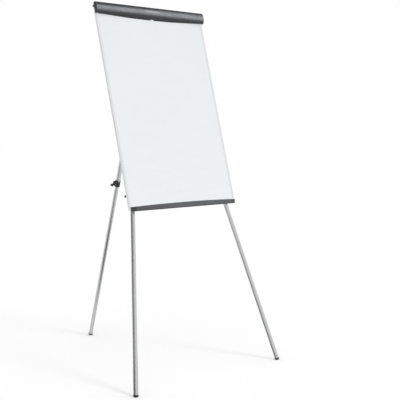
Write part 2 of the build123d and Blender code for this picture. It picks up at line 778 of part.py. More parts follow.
def make_foot(leg):
    """A rubber foot: a plug in the tube's end and a flange below it, rounded and cut flat where it stands."""
    centre = leg.plane.from_local_coords((0, 0, leg.reach))
    plug_r = slide_r - slide_wall
    round_from = -(foot_r ** 2 - foot_flange_r ** 2) ** 0.5
    round_mid = foot_r * sin(radians(45))
    with BuildPart() as foot:
        with BuildSketch(Plane(origin=centre, x_dir=leg.plane.x_dir, z_dir=leg.plane.y_dir)):
            with BuildLine():
                Polyline((0, -foot_r), (0, slide_end + foot_plug), (plug_r, slide_end + foot_plug),
                         (plug_r, slide_end), (foot_flange_r, slide_end), (foot_flange_r, round_from))
                ThreePointArc((foot_flange_r, round_from), (round_mid, -round_mid), (0, -foot_r))
            make_face()
        revolve(axis=Axis(centre, leg.plane.z_dir * -1))
        split(bisect_by=Plane.XY, keep=Keep.TOP)
    save(foot, f"{leg.name}_foot")


def make_collar(leg):
    """The clamp collar: a round body on both tubes, two cheeks for the lever, and a notched rim."""
    top = leg.collar_z - collar_half
    with BuildPart() as collar:
        with BuildSketch(leg.across(top)):
            Circle(collar_r)
        extrude(amount=2 * collar_half)
        ends = collar.edges().filter_by(GeomType.CIRCLE)
        chamfer(ends, length=collar_edge)
        with BuildSketch(leg.across(leg.collar_z - cheek_h / 2)):
            with Locations((cheek_x / 2, 0)):
                Rectangle(cheek_x, 2 * cheek_half)
        extrude(amount=cheek_h)
        corners = collar.edges().filter_by(Axis(leg.plane.origin, leg.plane.y_dir))
        fillet(corners.group_by(Axis(leg.plane.origin, leg.plane.x_dir))[-1], radius=cheek_corner)
        with BuildSketch(leg.across(leg.collar_z - cheek_h / 2 - 1)):
            with Locations((slide_r + cheek_x / 2, 0)):
                Rectangle(cheek_x, lever_slot)
        extrude(amount=cheek_h + 2, mode=Mode.SUBTRACT)
        with BuildSketch(leg.across(top)):
            Circle(tube_r)
        extrude(amount=collar_socket, mode=Mode.SUBTRACT)
        with BuildSketch(leg.across(top + collar_socket)):
            Circle(slide_r + running)
        extrude(amount=2 * collar_half, mode=Mode.SUBTRACT)
        with BuildSketch(leg.along(leg.collar_z, pin_x)):
            Circle(pin_r)
        extrude(amount=cheek_half + 1, both=True, mode=Mode.SUBTRACT)
        notch_side = Plane(origin=leg.plane.from_local_coords((0, leg.front * slide_r, top)),
                           x_dir=leg.plane.x_dir, z_dir=leg.plane.y_dir * leg.front)
        with BuildSketch(notch_side):
            Ellipse(*collar_notch)
        extrude(amount=collar_r, mode=Mode.SUBTRACT)
    save(collar, f"{leg.name}_collar")


def make_lever(leg):
    """The cam lever on its pin: a round nose that wedges against the lower tube, and a thumb tail."""
    nose_r = pin_x - slide_r - lever_gap
    tail = (lever_reach - pin_x) / cos(radians(lever_drop)) - thumb_r
    arm = thumb_r - 1
    square = leg.along(leg.collar_z, pin_x)
    tail_dir = square.x_dir * cos(radians(lever_drop)) + square.y_dir * sin(radians(lever_drop))
    lever_plane = Plane(origin=square.origin, x_dir=tail_dir, z_dir=square.z_dir)
    with BuildPart() as lever:
        with BuildSketch(lever_plane):
            Circle(nose_r)
            with BuildLine():
                Polyline((0, 1 - nose_r), (thumb_from, -arm), (tail, -arm), (tail, arm), (thumb_from, arm),
                         (0, nose_r - 1), close=True)
            make_face()
        extrude(amount=lever_w / 2, both=True)
        with BuildSketch(lever_plane):
            with BuildLine():
                Polyline((thumb_from, -arm), (tail, -thumb_r), (tail, thumb_r), (thumb_from, arm), close=True)
            make_face()
            with Locations((tail, 0)):
                Circle(thumb_r)
        extrude(amount=thumb_half_w, both=True)
        with BuildSketch(lever_plane):
            Circle(pin_r + running)
        extrude(amount=cheek_half, both=True, mode=Mode.SUBTRACT)
    save(lever, f"{leg.name}_lever")

    with BuildPart() as pin:
        with BuildSketch(square):
            Circle(pin_r)
        extrude(amount=cheek_half, both=True)
    save(pin, f"{leg.name}_lever_pin")


make_panel()
make_frame()
make_corner_keys()
make_hook_rail()
make_pad_hooks()
make_clamp_cover()
make_clamp_caps()
make_clamp_trim()
make_pen_tray()
make_head()
make_rear_hinge()
make_saddles()
for each_leg in (left, right, rear):
    make_tubes(each_leg)
    make_foot(each_leg)
    make_collar(each_leg)
    make_lever(each_leg)
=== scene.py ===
"""Tripod flipchart easel: the finishes, the fine parts, the floor, the light and the camera.

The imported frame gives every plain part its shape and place.  This script gives each part its
finish, replaces the screws and the grip strip with finer ones, adds the thumb ridges of the clamp
levers, and sets the easel on a pale floor.  Lengths are in metres.
"""

import json
import logging
import math
from dataclasses import dataclass, field
from enum import Enum
from typing import Any, Iterable

import bmesh
import bpy
import numpy as np
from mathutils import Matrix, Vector


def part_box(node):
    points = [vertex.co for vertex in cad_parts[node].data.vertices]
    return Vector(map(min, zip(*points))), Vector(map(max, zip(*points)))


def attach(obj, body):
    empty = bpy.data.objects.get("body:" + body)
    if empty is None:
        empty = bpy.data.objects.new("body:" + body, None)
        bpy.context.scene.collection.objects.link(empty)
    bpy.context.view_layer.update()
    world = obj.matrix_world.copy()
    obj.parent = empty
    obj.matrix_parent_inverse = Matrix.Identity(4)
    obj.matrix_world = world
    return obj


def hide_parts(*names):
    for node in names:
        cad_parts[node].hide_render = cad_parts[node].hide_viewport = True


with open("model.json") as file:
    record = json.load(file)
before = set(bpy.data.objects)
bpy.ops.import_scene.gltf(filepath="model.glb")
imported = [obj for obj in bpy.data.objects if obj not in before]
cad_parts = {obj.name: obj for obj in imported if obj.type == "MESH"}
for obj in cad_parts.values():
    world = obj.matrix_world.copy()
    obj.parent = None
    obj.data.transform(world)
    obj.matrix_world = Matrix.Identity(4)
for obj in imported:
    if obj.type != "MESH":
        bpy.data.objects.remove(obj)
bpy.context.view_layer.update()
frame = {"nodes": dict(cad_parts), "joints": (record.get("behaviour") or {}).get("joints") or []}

log = logging.getLogger("easel")
MM = 0.001
WELD_DISTANCE = 1e-5  # points nearer than this are one point
SMOOTH_ANGLE = math.radians(35.0)  # faces that meet at less than this are shaded as one
ACROSS = Vector((1.0, 0.0, 0.0))


class Slot(Enum):
    """The record's material slots that the new pieces take."""

    BLACK = "black"
    RUBBER = "rubber"
    STEEL = "steel"


class Side(Enum):
    """Which leg of the tripod."""

    LEFT = "left_leg"
    RIGHT = "right_leg"
    REAR = "rear_leg"


# ---------------------------------------------------------------- wiring of node trees
@dataclass
class Wiring:
    """Places and links the nodes of one tree.

    Attributes:
        tree: the shader or geometry tree.
    """

    tree: bpy.types.NodeTree

    def put(self, kind: str, feeds: dict[Any, Any] | None = None, **settings: Any) -> bpy.types.Node:
        """Place a node.

        Args:
            kind: the node's Blender type.
            feeds: a socket, value or node for each named or numbered input.
            settings: attributes of the node.

        Returns:
            The node.
        """
        node = self.tree.nodes.new(kind)
        for name, value in settings.items():
            setattr(node, name, value)
        for socket, value in (feeds or {}).items():
            self.feed(node, socket, value)
        return node

    def feed(self, node: bpy.types.Node, socket: Any, value: Any) -> None:
        """Give an input of a node its link or its value.

        Args:
            node: the node that takes it.
            socket: the input's name or number.
            value: a node, an output socket or a plain value.
        """
        target = node.inputs[socket]
        if isinstance(value, bpy.types.Node):
            value = next(out for out in value.outputs if out.enabled)
        if isinstance(value, bpy.types.NodeSocket):
            self.tree.links.new(value, target)
        else:
            target.default_value = value

    def maths(self, operation: str, *values: Any, clamp: bool = False) -> bpy.types.Node:
        """A Math node on up to three values."""
        return self.put("ShaderNodeMath", dict(enumerate(values)), operation=operation, use_clamp=clamp)

    def vector(self, operation: str, *values: Any) -> bpy.types.Node:
        """A Vector Math node."""
        return self.put("ShaderNodeVectorMath", dict(enumerate(values)), operation=operation)

    def spread(self, value: Any, low: float, high: float, to_low: float = 0.0,
               to_high: float = 1.0) -> bpy.types.Node:
        """A clamped Map Range from low..high to to_low..to_high."""
        return self.put("ShaderNodeMapRange", {0: value, 1: low, 2: high, 3: to_low, 4: to_high})

    def noise(self, where: Any, scale: float, detail: float = 2.0, roughness: float = 0.5,
              distortion: float = 0.0) -> bpy.types.Node:
        """A Noise Texture; its first output is the value."""
        return self.put("ShaderNodeTexNoise", {"Vector": where, "Scale": scale, "Detail": detail,
                                               "Roughness": roughness, "Distortion": distortion})

    def blend(self, share: Any, first: Any, second: Any) -> bpy.types.NodeSocket:
        """The colour output of a Mix node."""
        node = self.put("ShaderNodeMix", data_type="RGBA")
        numbers = {socket.identifier: number for number, socket in enumerate(node.inputs)}
        for socket, value in (("Factor_Float", share), ("A_Color", first), ("B_Color", second)):
            self.feed(node, numbers[socket], value)
        return next(socket for socket in node.outputs if socket.identifier == "Result_Color")


def grey(value: float, warmth: float = 0.0) -> tuple[float, float, float, float]:
    """A grey with a little warmth, or coolness where it is negative."""
    return (value * (1 + warmth), value, value * (1 - warmth), 1.0)


def opaque(colour: Iterable[float], strength: float = 1.0) -> tuple[float, ...]:
    """A colour made lighter or darker, with full opacity."""
    return (*(min(1.0, channel * strength) for channel in colour), 1.0)


def new_group(name: str, kind: str, inputs: list[tuple[str, str, Any]],
              outputs: list[tuple[str, str]]) -> tuple[Wiring, bpy.types.Node, bpy.types.Node]:
    """Start a node group with named sockets.

    Args:
        name: the group's name.
        kind: ShaderNodeTree or GeometryNodeTree.
        inputs: name, socket type and default of each input.
        outputs: name and socket type of each output.

    Returns:
        The wiring of its tree, its input node and its output node.
    """
    tree = bpy.data.node_groups.new(name, kind)
    for socket, socket_type, value in inputs:
        made = tree.interface.new_socket(name=socket, in_out="INPUT", socket_type=socket_type)
        if value is not None:
            made.default_value = value
    for socket, socket_type in outputs:
        tree.interface.new_socket(name=socket, in_out="OUTPUT", socket_type=socket_type)
    wiring = Wiring(tree)
    return wiring, wiring.put("NodeGroupInput"), wiring.put("NodeGroupOutput")


# ---------------------------------------------------------------- effects shared by the finishes
@dataclass
class Effects:
    """The shader groups that more than one finish uses, each built once."""

    groups: dict[str, bpy.types.NodeTree] = field(default_factory=dict)

    def build(self) -> None:
        """Build every group."""
        self.groups["grain"] = self._grain()
        self.groups["lines"] = self._lines()
        self.groups["rub"] = self._edge_rub()
        self.groups["dust"] = self._dust()
        self.groups["scuffs"] = self._scuffs()

    @staticmethod
    def _grain() -> bpy.types.NodeTree:
        """Spark-eroded mould grain: packed pits over a slower unevenness."""
        net, given, out = new_group("Mould grain", "ShaderNodeTree",
                                    [("Vector", "NodeSocketVector", None),
                                     ("Scale", "NodeSocketFloat", 1400.0)],
                                    [("Height", "NodeSocketFloat"), ("Tone", "NodeSocketFloat")])
        fine = net.noise(given.outputs["Vector"], 0, 3.0, 0.6)
        net.feed(fine, "Scale", given.outputs["Scale"])
        pits = net.put("ShaderNodeTexVoronoi", {"Vector": given.outputs["Vector"],
                                                "Scale": given.outputs["Scale"]}, feature="SMOOTH_F1")
        height = net.maths("MULTIPLY_ADD", pits.outputs["Distance"], 0.6, net.maths("MULTIPLY", fine, 0.4))
        slow = net.noise(given.outputs["Vector"], 45.0, 3.0, 0.55)
        net.feed(out, "Height", height)
        net.feed(out, "Tone", net.spread(slow, 0.32, 0.68))
        return net.tree

    @staticmethod
    def _lines() -> bpy.types.NodeTree:
        """Drawing lines that run along the vector's z, with slow streaks between them."""
        net, given, out = new_group("Drawing lines", "ShaderNodeTree",
                                    [("Vector", "NodeSocketVector", None),
                                     ("Scale", "NodeSocketFloat", 1500.0),
                                     ("Stretch", "NodeSocketFloat", 0.008)],
                                    [("Height", "NodeSocketFloat"), ("Tone", "NodeSocketFloat")])
        squeeze = net.put("ShaderNodeCombineXYZ", {0: 1.0, 1: 1.0, 2: given.outputs["Stretch"]})
        along = net.vector("MULTIPLY", given.outputs["Vector"], squeeze)
        fine = net.noise(along, 0, 2.0, 0.6)
        net.feed(fine, "Scale", given.outputs["Scale"])
        streaks = net.noise(along, 260.0, 3.0, 0.55)
        net.feed(out, "Height", fine)
        both = net.maths("ADD", net.maths("MULTIPLY", fine, 0.45), net.maths("MULTIPLY", streaks, 0.55))
        net.feed(out, "Tone", net.spread(both, 0.35, 0.65))
        return net.tree

    @staticmethod
    def _edge_rub() -> bpy.types.NodeTree:
        """A mask of the edges that hands and bags rub, broken up so that it isn't even."""
        net, given, out = new_group("Edge rub", "ShaderNodeTree",
                                    [("Vector", "NodeSocketVector", None),
                                     ("Radius", "NodeSocketFloat", 0.0008),
                                     ("Amount", "NodeSocketFloat", 0.6)],
                                    [("Mask", "NodeSocketFloat")])
        rounded = net.put("ShaderNodeBevel", {"Radius": given.outputs["Radius"]}, samples=4)
        true_normal = net.put("ShaderNodeNewGeometry").outputs["Normal"]
        turn = net.vector("DOT_PRODUCT", rounded, true_normal).outputs["Value"]
        edge = net.spread(turn, 0.98, 0.80)
        broken = net.spread(net.noise(given.outputs["Vector"], 160.0, 4.0, 0.7), 0.38, 0.62)
        rubbed = net.maths("MULTIPLY", edge, broken)
        net.feed(out, "Mask", net.maths("MULTIPLY", rubbed, given.outputs["Amount"], clamp=True))
        return net.tree

    @staticmethod
    def _dust() -> bpy.types.NodeTree:
        """A mask of the thin dust that settles on faces that look up."""
        net, given, out = new_group("Settled dust", "ShaderNodeTree",
                                    [("Vector", "NodeSocketVector", None),
                                     ("Amount", "NodeSocketFloat", 0.3)],
                                    [("Mask", "NodeSocketFloat")])
        facing = net.put("ShaderNodeTexCoord").outputs["Normal"]
        upward = net.spread(net.put("ShaderNodeSeparateXYZ", {0: facing}).outputs["Z"], 0.35, 1.0)
        patches = net.spread(net.noise(given.outputs["Vector"], 22.0, 5.0, 0.65), 0.35, 0.75)
        motes = net.spread(net.noise(given.outputs["Vector"], 900.0, 2.0), 0.42, 0.7)
        cover = net.maths("MULTIPLY", upward, net.maths("MULTIPLY_ADD", motes, 0.5, patches))
        net.feed(out, "Mask", net.maths("MULTIPLY", cover, given.outputs["Amount"], clamp=True))
        return net.tree

    @staticmethod
    def _scuffs() -> bpy.types.NodeTree:
        """A mask of hand marks and fine scuffs, which change the gloss more than the colour."""
        net, given, out = new_group("Hand marks", "ShaderNodeTree",
                                    [("Vector", "NodeSocketVector", None), ("Size", "NodeSocketFloat", 14.0)],
                                    [("Mask", "NodeSocketFloat")])
        blots = net.noise(given.outputs["Vector"], 0, 4.0, 0.6, 0.8)
        net.feed(blots, "Scale", given.outputs["Size"])
        hair = net.put("ShaderNodeTexVoronoi", {"Vector": given.outputs["Vector"], "Scale": 120.0},
                       feature="DISTANCE_TO_EDGE")
        thin = net.spread(hair, 0.02, 0.0)
        blots = net.spread(blots, 0.42, 0.72)
        net.feed(out, "Mask", net.maths("MULTIPLY_ADD", thin, 0.18, blots, clamp=True))
        return net.tree


EFFECTS = Effects()


@dataclass
class Coat(Wiring):
    """The wiring of one material.

    Attributes:
        material: the material.
        shader: its Principled BSDF.
        where: the coordinates that its patterns use.
    """

    material: bpy.types.Material
    shader: bpy.types.Node
    where: bpy.types.NodeSocket

    @classmethod
    def start(cls, name: str, shader: dict[str, Any], along: Vector | None = None) -> "Coat":
        """Start a material.

        Args:
            name: the material's name.
            shader: constants for the Principled BSDF's own sockets.
            along: a direction that the pattern's z is turned to, or None.

        Returns:
            The coat.
        """
        material = bpy.data.materials.new(name)
        material.use_nodes = True
        material.node_tree.nodes.clear()
        net = Wiring(material.node_tree)
        surface = net.put("ShaderNodeBsdfPrincipled", shader)
        net.put("ShaderNodeOutputMaterial", {"Surface": surface})
        where = net.put("ShaderNodeTexCoord").outputs["Object"]
        if along is not None:
            turn = along.normalized().to_track_quat("Z", "X").inverted().to_euler()
            where = net.put("ShaderNodeMapping", {"Vector": where, "Rotation": turn}).outputs[0]
        return cls(material.node_tree, material, surface, where)

    def effect(self, group: str, **values: float) -> bpy.types.Node:
        """Place a shared effect.

        Args:
            group: its key in the effects.
            values: its inputs by name.

        Returns:
            The group's node.
        """
        node = self.put("ShaderNodeGroup", node_tree=EFFECTS.groups[group])
        self.feed(node, "Vector", self.where)
        for socket, value in values.items():
            self.feed(node, socket, value)
        return node

    def colour(self, value: Any) -> None:
        """Feed the shader's Base Color."""
        self.feed(self.shader, "Base Color", value)

    def rough(self, value: Any) -> None:
        """Feed the shader's Roughness."""
        self.feed(self.shader, "Roughness", value)

    def bump(self, height: Any, strength: float, distance: float) -> None:
        """Feed the shader's Normal from a height."""
        relief = self.put("ShaderNodeBump", {"Strength": strength, "Distance": distance, "Height": height})
        self.feed(self.shader, "Normal", relief)


# ---------------------------------------------------------------- finishes
@dataclass(frozen=True)
class Enamel:
    """White glazed steel for drywipe pens, with the ghosts of a wiped surface."""

    name: str = "drywipe_enamel"

    def make(self) -> bpy.types.Material:
        """Build the material."""
        coat = Coat.start(self.name, {"IOR": 1.52, "Coat Weight": 0.35, "Coat Roughness": 0.05})
        swirl = coat.put("ShaderNodeMapping", {"Vector": coat.where, "Rotation": (0.28, 0.55, 0.0),
                                               "Scale": (1.0, 1.0, 5.0)})
        wiped = coat.spread(coat.noise(swirl, 5.0, 4.0, 0.6, 1.4), 0.45, 0.75)
        slow = coat.spread(coat.noise(coat.where, 2.2, 2.0), 0.3, 0.7)
        white = coat.blend(slow, (0.815, 0.850, 0.862, 1.0), (0.832, 0.864, 0.874, 1.0))
        coat.colour(coat.blend(coat.maths("MULTIPLY", wiped, 0.10), white, (0.66, 0.70, 0.74, 1.0)))
        coat.rough(coat.spread(wiped, 0.0, 1.0, 0.16, 0.30))
        coat.bump(coat.noise(coat.where, 260.0, 2.0), 0.05, 0.2 * MM)
        return coat.material


@dataclass(frozen=True)
class DrawnMetal:
    """Aluminium or steel drawn or extruded along one direction.

    Attributes:
        name: the material's name.
        along: the drawing direction.
        tone: base colour of the metal.
        gloss: lowest and highest roughness.
        coarse: how strongly the lines show.
        metallic: 1 for bare metal, less under a milky anodic film.
    """

    name: str
    along: tuple[float, float, float]
    tone: tuple[float, float, float] = (0.80, 0.81, 0.82)
    gloss: tuple[float, float] = (0.26, 0.40)
    coarse: float = 0.12
    metallic: float = 1.0

    def make(self) -> bpy.types.Material:
        """Build the material."""
        coat = Coat.start(self.name, {"Metallic": self.metallic}, Vector(self.along))
        lines = coat.effect("lines")
        marks = coat.effect("scuffs", Size=20.0)
        metal = coat.blend(lines.outputs["Tone"], opaque(self.tone, 0.88), opaque(self.tone, 1.05))
        metal = coat.blend(coat.maths("MULTIPLY", marks, 0.10), metal, grey(0.50, 0.02))
        coat.colour(coat.blend(coat.effect("rub", Radius=0.6 * MM), metal, (0.92, 0.92, 0.93, 1.0)))
        tone = coat.maths("MULTIPLY_ADD", marks, 0.5, coat.maths("MULTIPLY", lines.outputs["Tone"], 0.5))
        coat.rough(coat.spread(tone, 0.0, 1.0, *self.gloss))
        coat.bump(lines.outputs["Height"], self.coarse, 0.08 * MM)
        return coat.material


@dataclass(frozen=True)
class Moulding:
    """A moulded plastic or rubber with a fine grain.

    Attributes:
        name: the material's name.
        dark: colour in the grain's hollows.
        light: colour on its crests and rubbed edges.
        gloss: lowest and highest roughness.
        grain: pits per metre.
        relief: depth of the grain in millimetres.
        dust: how much dust lies on faces that look up.
        specular: the shader's specular level.
    """

    name: str
    dark: tuple[float, float, float]
    light: tuple[float, float, float]
    gloss: tuple[float, float] = (0.38, 0.52)
    grain: float = 1400.0
    relief: float = 0.06
    dust: float = 0.25
    specular: float = 0.5

    def make(self) -> bpy.types.Material:
        """Build the material."""
        coat = Coat.start(self.name, {"Specular IOR Level": self.specular})
        grain = coat.effect("grain", Scale=self.grain)
        marks = coat.effect("scuffs")
        base = coat.blend(grain.outputs["Tone"], opaque(self.dark), opaque(self.light))
        rubbed = opaque(channel * 2.2 + 0.01 for channel in self.light)
        base = coat.blend(coat.effect("rub", Amount=0.5), base, rubbed)
        coat.colour(coat.blend(coat.effect("dust", Amount=self.dust), base, (0.42, 0.41, 0.39, 1.0)))
        coat.rough(coat.spread(marks, 0.0, 1.0, *self.gloss))
        coat.bump(grain.outputs["Height"], 0.5, self.relief * MM)
        return coat.material


@dataclass(frozen=True)
class FlakePaint:
    """The clamp's and the tray's dark slate paint, with a fine metal flake and painted shade on faces that
    look down.

    Attributes:
        name: the material's name.
        base: the paint's colour.
        underside_shade: how much of its tone the paint keeps on faces that look down, which are painted
            darker as shade.
    """

    name: str = "slate_paint"
    base: tuple[float, float, float] = (0.027, 0.030, 0.034)
    underside_shade: float = 0.8

    def make(self) -> bpy.types.Material:
        """Build the material."""
        coat = Coat.start(self.name, {"Metallic": 0.1, "Specular IOR Level": 0.4})
        flake = coat.put("ShaderNodeTexVoronoi", {"Vector": coat.where, "Scale": 1600.0})
        glint = coat.put("ShaderNodeSeparateColor", {0: flake.outputs["Color"]}).outputs[0]
        grain = coat.effect("grain", Scale=900.0)
        marks = coat.effect("scuffs", Size=11.0)
        low, high = opaque(self.base, 0.82), opaque(self.base, 1.30)
        paint = coat.blend(glint, low, high)
        normal = coat.put("ShaderNodeTexCoord").outputs["Normal"]
        facing = coat.put("ShaderNodeSeparateXYZ", {0: normal}).outputs["Z"]
        # painted shade: faces that look down are blended towards a darker copy of the paint
        paint = coat.blend(coat.spread(facing, -0.05, -0.6), paint, opaque(low[:3], self.underside_shade))
        paint = coat.blend(coat.maths("MULTIPLY", grain.outputs["Tone"], 0.25), paint, high)
        paint = coat.blend(coat.effect("rub", Amount=0.35, Radius=0.7 * MM), paint, grey(0.24))
        coat.colour(coat.blend(coat.effect("dust", Amount=0.12), paint, (0.42, 0.41, 0.39, 1.0)))
        coat.rough(coat.spread(marks, 0.0, 1.0, 0.34, 0.46))
        coat.bump(grain.outputs["Height"], 0.35, 0.04 * MM)
        return coat.material


@dataclass(frozen=True)
class Backing:
    """The light grey painted back sheet, with a faint zinc spangle under the paint."""

    name: str = "backing_paint"

    def make(self) -> bpy.types.Material:
        """Build the material."""
        coat = Coat.start(self.name, {"Metallic": 0.25, "IOR": 1.5})
        spangle = coat.put("ShaderNodeTexVoronoi", {"Vector": coat.where, "Scale": 70.0})
        cell = coat.put("ShaderNodeSeparateColor", {0: spangle.outputs["Color"]}).outputs[0]
        lines = coat.effect("lines", Scale=700.0, Stretch=0.02)
        marks = coat.effect("scuffs", Size=5.0)
        tone = coat.blend(cell, (0.50, 0.515, 0.525, 1.0), (0.56, 0.572, 0.58, 1.0))
        tone = coat.blend(coat.maths("MULTIPLY", lines.outputs["Tone"], 0.2), tone, (0.62, 0.63, 0.64, 1.0))
        coat.colour(coat.blend(coat.maths("MULTIPLY", marks, 0.2), tone, (0.44, 0.44, 0.44, 1.0)))
        coat.rough(coat.spread(marks, 0.0, 1.0, 0.36, 0.52))
        coat.bump(lines.outputs["Height"], 0.12, 0.05 * MM)
        return coat.material


@dataclass(frozen=True)
class Fibreboard:
    """The softboard core, seen only in its screw holes and edges."""

    name: str = "core_fibre"

    def make(self) -> bpy.types.Material:
        """Build the material."""
        coat = Coat.start(self.name, {"Specular IOR Level": 0.2})
        grain = coat.effect("grain", Scale=500.0)
        fibres = coat.spread(coat.noise(coat.where, 240.0, 6.0, 0.75, 1.0), 0.3, 0.7)
        coat.colour(coat.blend(fibres, (0.30, 0.22, 0.13, 1.0), (0.52, 0.42, 0.28, 1.0)))
        coat.rough(coat.spread(fibres, 0.0, 1.0, 0.80, 0.95))
        coat.bump(grain.outputs["Height"], 0.7, 0.2 * MM)
        return coat.material


@dataclass(frozen=True)
class Plating:
    """Bright zinc plating with its faint cloud of blue and straw."""

    name: str = "zinc_plating"

    def make(self) -> bpy.types.Material:
        """Build the material."""
        coat = Coat.start(self.name, {"Metallic": 1.0})
        cloud = coat.spread(coat.noise(coat.where, 130.0, 3.0, 0.55, 0.6), 0.3, 0.7)
        grain = coat.effect("grain", Scale=2200.0)
        metal = coat.blend(cloud, (0.62, 0.65, 0.69, 1.0), (0.66, 0.63, 0.54, 1.0))
        coat.colour(coat.blend(coat.effect("rub", Radius=0.3 * MM), metal, (0.85, 0.85, 0.86, 1.0)))
        coat.rough(coat.spread(cloud, 0.0, 1.0, 0.24, 0.38))
        coat.bump(grain.outputs["Height"], 0.25, 0.03 * MM)
        return coat.material


@dataclass
class Finishes:
    """Every finish of the easel, made once.

    Attributes:
        up: the direction up the board.
        leg_axes: the direction along each leg.
        made: the materials by their keys.
    """

    up: Vector
    leg_axes: dict[Side, Vector]
    made: dict[str, bpy.types.Material] = field(default_factory=dict)

    def build(self) -> None:
        """Make the materials."""
        across, up = tuple(ACROSS), tuple(self.up)
        anodised = {"tone": (0.80, 0.81, 0.82), "gloss": (0.36, 0.50), "metallic": 0.2}
        recipes: dict[str, Any] = {
            "enamel": Enamel(),
            "core": Fibreboard(),
            "backing": Backing(),
            "frame_across": DrawnMetal("frame_anodised_across", across, **anodised),
            "frame_up": DrawnMetal("frame_anodised_up", up, **anodised),
            "rail": DrawnMetal("rail_anodised", across, tone=(0.70, 0.71, 0.72)),
            "slate": FlakePaint(),
            # painted light: the tray takes a lighter copy of the clamp's slate paint to stand for the light
            # on its lip, with much stronger painted shade on faces that look down
            "slate_tray_painted_light": FlakePaint("slate_paint_tray_painted_light", (0.066, 0.069, 0.074), 0.3),
            "black": Moulding("black_moulding", (0.014, 0.0145, 0.016), (0.024, 0.025, 0.027)),
            "rubber": Moulding("black_rubber", (0.012, 0.012, 0.0125), (0.026, 0.026, 0.027),
                               gloss=(0.62, 0.80), grain=2200.0, relief=0.10, dust=0.35, specular=0.35),
            "nylon": Moulding("natural_nylon", (0.66, 0.64, 0.58), (0.76, 0.75, 0.70),
                              gloss=(0.34, 0.46), dust=0.1),
            "badge": Moulding("badge_plate", (0.27, 0.275, 0.28), (0.31, 0.315, 0.32),
                              gloss=(0.50, 0.62), dust=0.1, relief=0.03, specular=0.3),
            "steel": Plating(),
            "plate": Moulding("black_powder_coat", (0.020, 0.021, 0.022), (0.034, 0.035, 0.037),
                              gloss=(0.42, 0.56), grain=800.0, relief=0.12),
        }
        for side, axis in self.leg_axes.items():
            recipes[f"tube_{side.value}"] = DrawnMetal(f"tube_silver_{side.value}", tuple(axis),
                                                       tone=(0.62, 0.63, 0.64), gloss=(0.22, 0.36))
        for key, recipe in recipes.items():
            self.made[key] = recipe.make()
            log.info("finish %s", recipe.name)

    def dress(self, finish: str, *nodes: str) -> None:
        """Give CAD nodes a finish.

        Args:
            finish: the finish's key.
            nodes: names of the nodes.
        """
        for node in nodes:
            target = frame["nodes"][node]
            for material_slot in target.material_slots:
                material_slot.material = self.made[finish]
            log.info("%s dressed in %s", node, self.made[finish].name)


# ---------------------------------------------------------------- reading the frame
def joint(name: str) -> dict[str, Any]:
    """The record's entry for a joint."""
    return next(entry for entry in frame["joints"] if entry["name"] == name)


def new_object(name: str, data: bpy.types.ID) -> bpy.types.Object:
    """Put a new object in the scene, at the origin."""
    made = bpy.data.objects.new(name, data)
    bpy.context.scene.collection.objects.link(made)
    return made


def welded(node: str) -> bmesh.types.BMesh:
    """An editable copy of a CAD node, with its doubled points made one."""
    copy = bmesh.new()
    copy.from_mesh(frame["nodes"][node].data)
    bmesh.ops.remove_doubles(copy, verts=copy.verts, dist=WELD_DISTANCE)
    return copy


def solids_of(node: str) -> list[np.ndarray]:
    """The separate solids of a CAD node.

    Args:
        node: the node's name.

    Returns:
        One array of points for each solid, in order along X, then Z.
    """
    copy = welded(node)
    left_over = set(copy.verts)
    solids = []
    while left_over:
        queue, island = [left_over.pop()], []
        while queue:
            vert = queue.pop()
            island.append(tuple(vert.co))
            for edge in vert.link_edges:
                other = edge.other_vert(vert)
                if other in left_over:
                    left_over.remove(other)
                    queue.append(other)
        solids.append(np.array(island))
    copy.free()

    def place(solid: np.ndarray) -> tuple[float, float]:
        """The middle of a solid along X and Z, to the millimetre."""
        middle = solid.mean(0)
        return round(float(middle[0]), 3), round(float(middle[2]), 3)

    return sorted(solids, key=place)


def finished_mesh(name: str, base: bpy.types.Mesh, tree: bpy.types.NodeTree,
                  values: dict[str, Any]) -> bpy.types.Object:
    """Run a geometry tree on a base mesh and keep the result as a plain mesh.

    Args:
        name: the piece's name.
        base: the mesh that the tree starts from.
        tree: the geometry tree.
        values: its inputs by name.

    Returns:
        The piece, at the origin, with no modifier left.
    """
    piece = new_object(name, base)
    modifier = piece.modifiers.new(tree.name, "NODES")
    modifier.node_group = tree
    for item in tree.interface.items_tree:
        if item.item_type == "SOCKET" and item.in_out == "INPUT" and item.name in values:
            modifier[item.identifier] = values[item.name]
    evaluated = piece.evaluated_get(bpy.context.evaluated_depsgraph_get())
    mesh = bpy.data.meshes.new_from_object(evaluated)
    piece.modifiers.remove(modifier)
    piece.data = mesh
    mesh.name = name
    mesh.shade_smooth()
    mesh.set_sharp_from_angle(angle=SMOOTH_ANGLE)
    log.info("%s made, %d faces", name, len(mesh.polygons))
    return piece


def points_mesh(name: str, places: list[Vector], aims: list[Vector]) -> bpy.types.Mesh:
    """A mesh of loose points, each with the direction that its part looks in."""
    mesh = bpy.data.meshes.new(name)
    mesh.from_pydata([tuple(p) for p in places], [], [])
    attribute = mesh.attributes.new("aim", "FLOAT_VECTOR", "POINT")
    attribute.data.foreach_set("vector", [c for aim in aims for c in aim])
    return mesh


